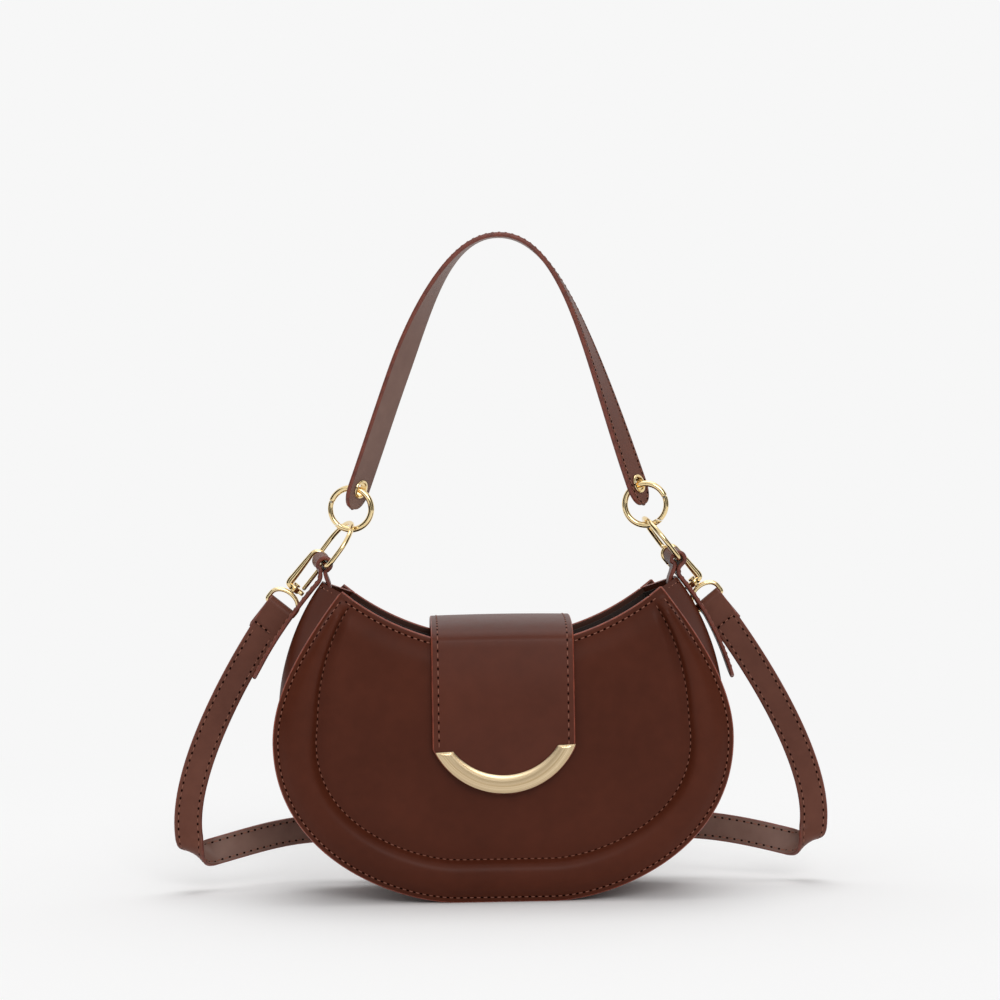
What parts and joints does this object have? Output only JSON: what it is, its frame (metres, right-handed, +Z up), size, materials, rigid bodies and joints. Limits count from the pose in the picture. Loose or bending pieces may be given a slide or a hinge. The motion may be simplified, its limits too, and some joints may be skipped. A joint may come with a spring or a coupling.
{
  "type": "crossbody bag",
  "caption": "Half-moon leather crossbody bag with a padded rim, a flap with a metal crescent, a top handle on sprung rings and a clip-on shoulder strap.",
  "frame": {"origin": "on the resting plane, at the middle of the whole object's width and depth", "axes": "+X to the bag's right seen from the front, +Y to the back, +Z up"},
  "size_m": [0.3737, 0.1107, 0.3742],
  "materials": {
    "panel_leather": "smooth chestnut brown leather with a light sheen",
    "gusset_leather": "smooth chestnut brown leather",
    "flap_leather": "smooth chestnut brown leather with painted edges",
    "strap_leather": "smooth chestnut brown leather with painted edges and tonal stitching",
    "edge_padding": "soft filling",
    "lining_fabric": "woven lining",
    "gold": "polished pale gold plating",
    "brushed_gold": "finely brushed pale gold",
    "plated_steel": "plated steel"
  },
  "bodies": {
    "bag": {"front_panel": "panel_leather", "back_panel": "panel_leather", "front_rim_pad": "edge_padding", "back_rim_pad": "edge_padding", "gusset": "gusset_leather", "lining": "lining_fabric", "flap_root": "flap_leather", "panel_snap": "gold", "snap_washer": "plated_steel", "link_left": "gold", "link_right": "gold", "side_tab_left": "strap_leather", "side_tab_right": "strap_leather", "swivel_eye_left": "gold", "swivel_eye_right": "gold", "shoulder_strap": "strap_leather"},
    "flap": {"flap": "flap_leather", "crescent_trim": "brushed_gold", "trim_screw_left": "gold", "trim_screw_right": "gold", "flap_snap": "gold"},
    "handle": {"handle_strap": "strap_leather", "eyelet_left": "gold", "eyelet_right": "gold", "eyelet_washer_left": "gold", "eyelet_washer_right": "gold", "ring_body_left": "gold", "ring_body_right": "gold", "ring_pin_left": "plated_steel", "ring_pin_right": "plated_steel"},
    "left_ring_gate": {"ring_gate_left": "gold"},
    "right_ring_gate": {"ring_gate_right": "gold"},
    "left_hook": {"hook_body_left": "gold", "hook_pin_left": "plated_steel"},
    "right_hook": {"hook_body_right": "gold", "hook_pin_right": "plated_steel"},
    "left_hook_gate": {"hook_gate_left": "gold"},
    "right_hook_gate": {"hook_gate_right": "gold"}
  },
  "joints": [
    {"name": "flap_hinge", "type": "hinge", "parent": "bag", "child": "flap", "pos_m": [0, 0.03245, 0.1479], "axis": [-1, 0, 0], "range_deg": [0, 160]},
    {"name": "handle_swing", "type": "hinge", "parent": "bag", "child": "handle", "pos_m": [0, -0.0083, 0.2074], "axis": [1, 0, 0], "range_deg": [-60, 60]},
    {"name": "left_ring_gate_hinge", "type": "hinge", "parent": "handle", "child": "left_ring_gate", "pos_m": [-0.09445, -0.006, 0.22324], "axis": [-0.2079, -0.9781, 0], "range_deg": [0, 14], "stiffness_Nm_per_rad": 0.01},
    {"name": "right_ring_gate_hinge", "type": "hinge", "parent": "handle", "child": "right_ring_gate", "pos_m": [0.09445, -0.0106, 0.22324], "axis": [0.2079, 0.9781, 0], "range_deg": [0, 14], "stiffness_Nm_per_rad": 0.01},
    {"name": "left_hook_swivel", "type": "hinge", "parent": "bag", "child": "left_hook", "pos_m": [-0.1164, 0.0039, 0.17402], "axis": [-0.6288, 0, -0.7776], "range_deg": [-20, 2]},
    {"name": "right_hook_swivel", "type": "hinge", "parent": "bag", "child": "right_hook", "pos_m": [0.11166, 0.0039, 0.17402], "axis": [0.6288, 0, -0.7776], "range_deg": [-2, 20]},
    {"name": "left_hook_gate_hinge", "type": "hinge", "parent": "left_hook", "child": "left_hook_gate", "pos_m": [-0.11142, 0.0039, 0.17334], "axis": [0, -1, 0], "range_deg": [0, 18], "stiffness_Nm_per_rad": 0.01},
    {"name": "right_hook_gate_hinge", "type": "hinge", "parent": "right_hook", "child": "right_hook_gate", "pos_m": [0.10668, 0.0039, 0.17334], "axis": [0, 1, 0], "range_deg": [0, 18], "stiffness_Nm_per_rad": 0.01}
  ]
}
